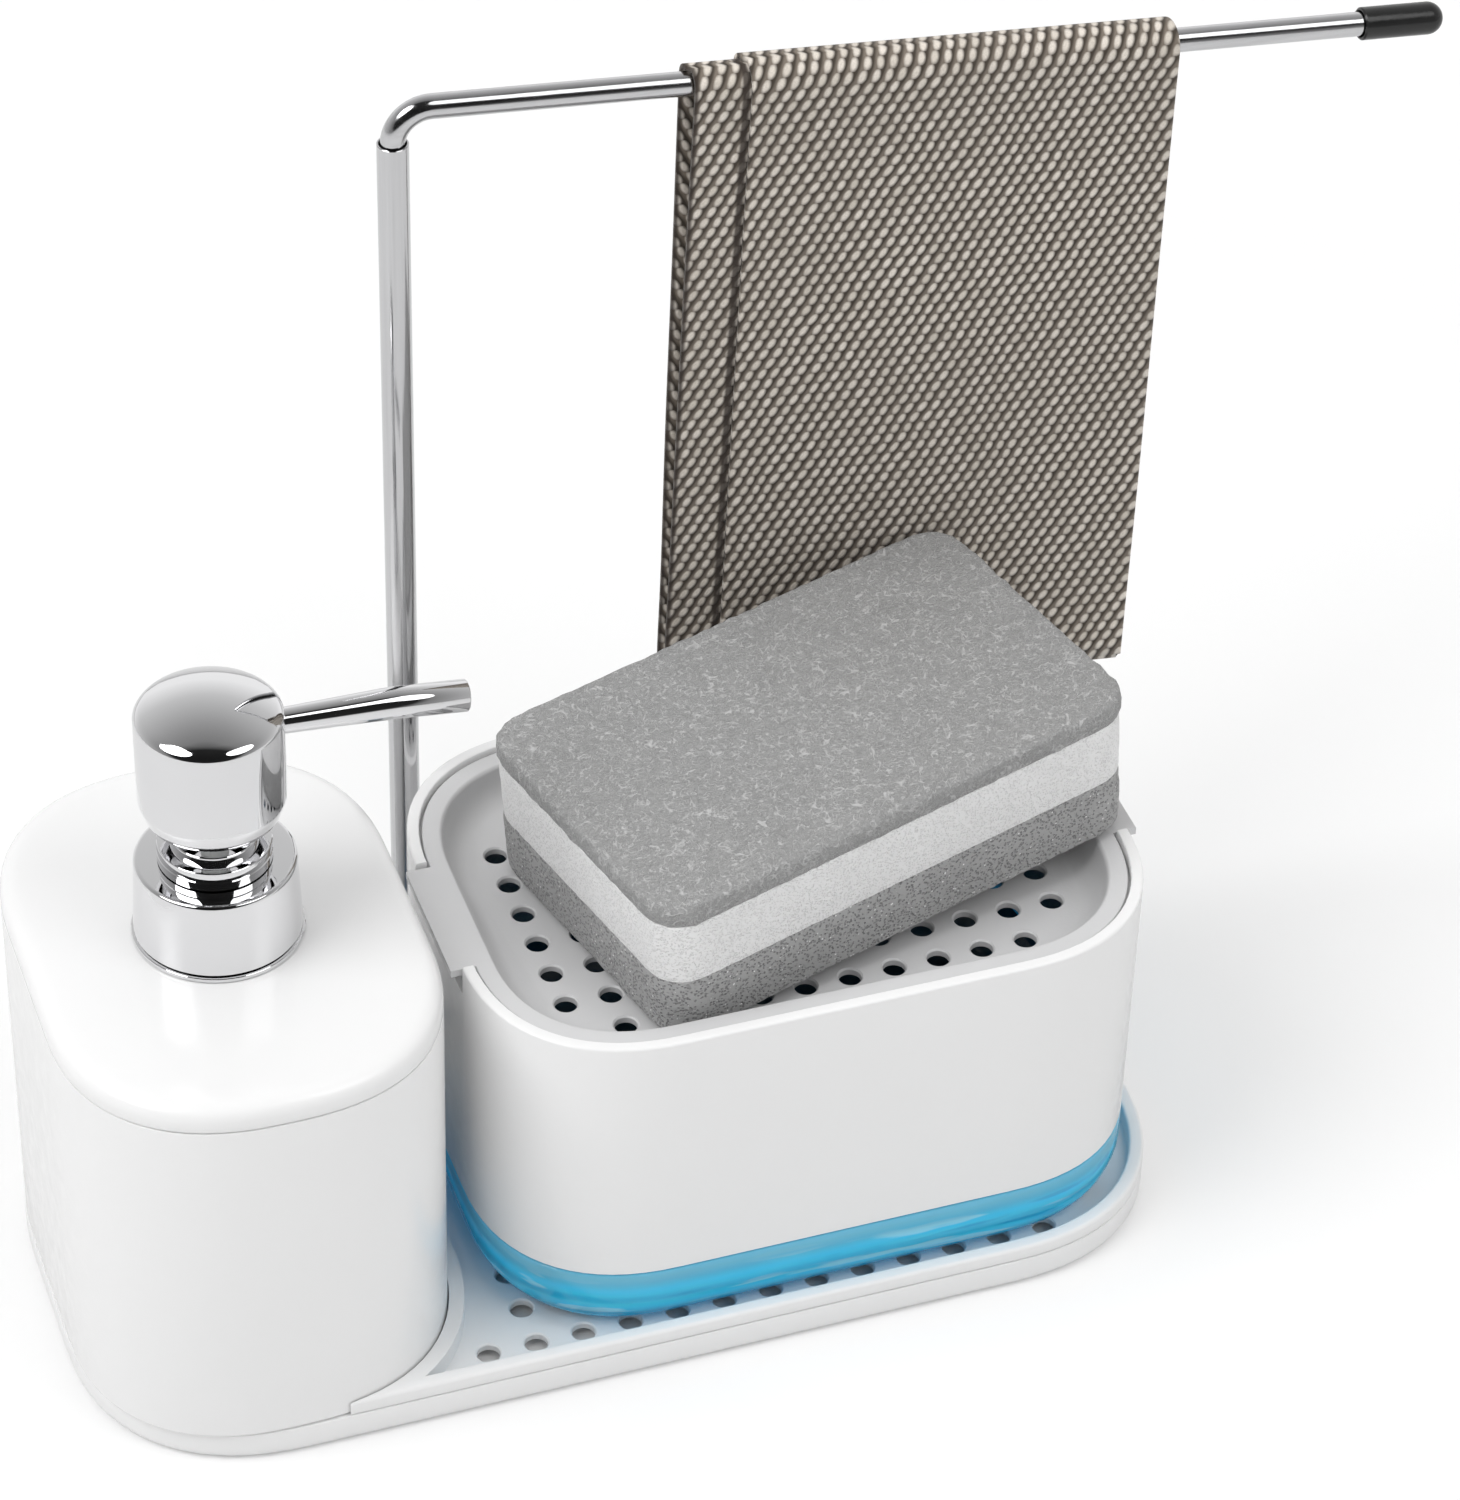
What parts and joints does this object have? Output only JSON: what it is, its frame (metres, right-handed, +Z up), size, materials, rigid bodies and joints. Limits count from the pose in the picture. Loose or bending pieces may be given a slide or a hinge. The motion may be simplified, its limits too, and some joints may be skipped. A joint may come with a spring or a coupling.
{
  "type": "soap dispenser and sponge caddy set",
  "caption": "Sink-side set on one tray: pump soap bottle, sponge caddy with strainer over a drip basin, and a swinging towel rod with a small towel.",
  "frame": {"origin": "middle of the tray's footprint, on the table", "axes": "+Z up; +X along the tray from the bottle to the caddy; +Y towards the towel post at the back"},
  "size_m": [0.3035, 0.11, 0.243],
  "materials": {
    "gloss_white_plastic": "smooth moulded gloss",
    "light_grey_plastic": "satin moulded plastic",
    "clear_blue_plastic": "clear blue-tinted plastic",
    "natural_plastic": "plain translucent pump plastic",
    "chrome_plated": "bright plating",
    "polished_steel": "polished tube and wire",
    "spring_steel": "drawn wire",
    "white_rubber": "soft feet and seals",
    "black_rubber": "glossy black end cap",
    "brown_cloth": "beige dots printed on dark brown microfibre",
    "scouring_fibre": "grey non-woven scouring fibre",
    "light_foam": "light grey foam",
    "dark_foam": "dark grey foam"
  },
  "bodies": {
    "tray": {"base_pan": "gloss_white_plastic", "foot_pad_front_left": "white_rubber", "foot_pad_back_left": "white_rubber", "foot_pad_front_right": "white_rubber", "foot_pad_back_right": "white_rubber", "drain_insert": "light_grey_plastic", "post_tube": "polished_steel", "post_plug": "natural_plastic", "post_screw": "polished_steel"},
    "bottle": {"bottle_body": "gloss_white_plastic", "bottle_lid": "gloss_white_plastic", "bottle_neck": "natural_plastic", "pump_base_ring": "chrome_plated"},
    "pump": {"pump_collar": "chrome_plated", "neck_gasket": "white_rubber", "lock_sleeve": "chrome_plated", "pump_housing": "natural_plastic", "dip_tube": "natural_plastic", "pump_spring": "spring_steel"},
    "inlet_valve": {"inlet_ball": "polished_steel"},
    "plunger": {"pump_piston": "natural_plastic", "piston_seal": "white_rubber", "pump_stem": "natural_plastic"},
    "head": {"pump_head": "chrome_plated", "pump_spout": "chrome_plated"},
    "rod": {"towel_rod": "polished_steel", "rod_end_cap": "black_rubber"},
    "towel": {"hand_towel": "brown_cloth"},
    "basin": {"drip_basin": "clear_blue_plastic"},
    "shell": {"caddy_shell": "gloss_white_plastic"},
    "strainer": {"strainer_tray": "light_grey_plastic"},
    "sponge": {"scouring_pad": "scouring_fibre", "sponge_foam_light": "light_foam", "sponge_foam_dark": "dark_foam"}
  },
  "joints": [
    {"name": "bottle_lift", "type": "slide", "parent": "tray", "child": "bottle", "axis": [0, 0, 1], "range_m": [0, 0.1]},
    {"name": "pump_lift_out", "type": "slide", "parent": "bottle", "child": "pump", "axis": [0, 0, 1], "range_m": [0, 0.1]},
    {"name": "ball_lift", "type": "slide", "parent": "pump", "child": "inlet_valve", "axis": [0, 0, 1], "range_m": [0, 0.0015]},
    {"name": "pump_press", "type": "slide", "parent": "pump", "child": "plunger", "axis": [0, 0, -1], "range_m": [0, 0.0105], "stiffness_N_per_m": 400, "springref_m": -0.01, "deforming": ["pump_spring"]},
    {"name": "head_swivel", "type": "hinge", "parent": "plunger", "child": "head", "pos_m": [-0.0762, -0.00185, 0.14], "axis": [0, 0, 1], "continuous": true},
    {"name": "rod_swivel", "type": "hinge", "parent": "tray", "child": "rod", "pos_m": [-0.0251, 0.046, 0.23], "axis": [0, 0, 1], "range_deg": [0, 120]},
    {"name": "towel_slide", "type": "slide", "parent": "rod", "child": "towel", "axis": [0.9969, -0.008, -0.0785], "range_m": [-0.035, 0.038]},
    {"name": "basin_lift", "type": "slide", "parent": "tray", "child": "basin", "axis": [0, -0.7071, 0.7071], "range_m": [0, 0.04]},
    {"name": "shell_lift", "type": "slide", "parent": "basin", "child": "shell", "axis": [0, 0, 1], "range_m": [0, 0.006]},
    {"name": "strainer_lift", "type": "slide", "parent": "shell", "child": "strainer", "axis": [0, 0, 1], "range_m": [0, 0.007]},
    {"name": "sponge_lift", "type": "slide", "parent": "strainer", "child": "sponge", "axis": [0, -0.2588, 0.9659], "range_m": [0, 0.01]}
  ]
}
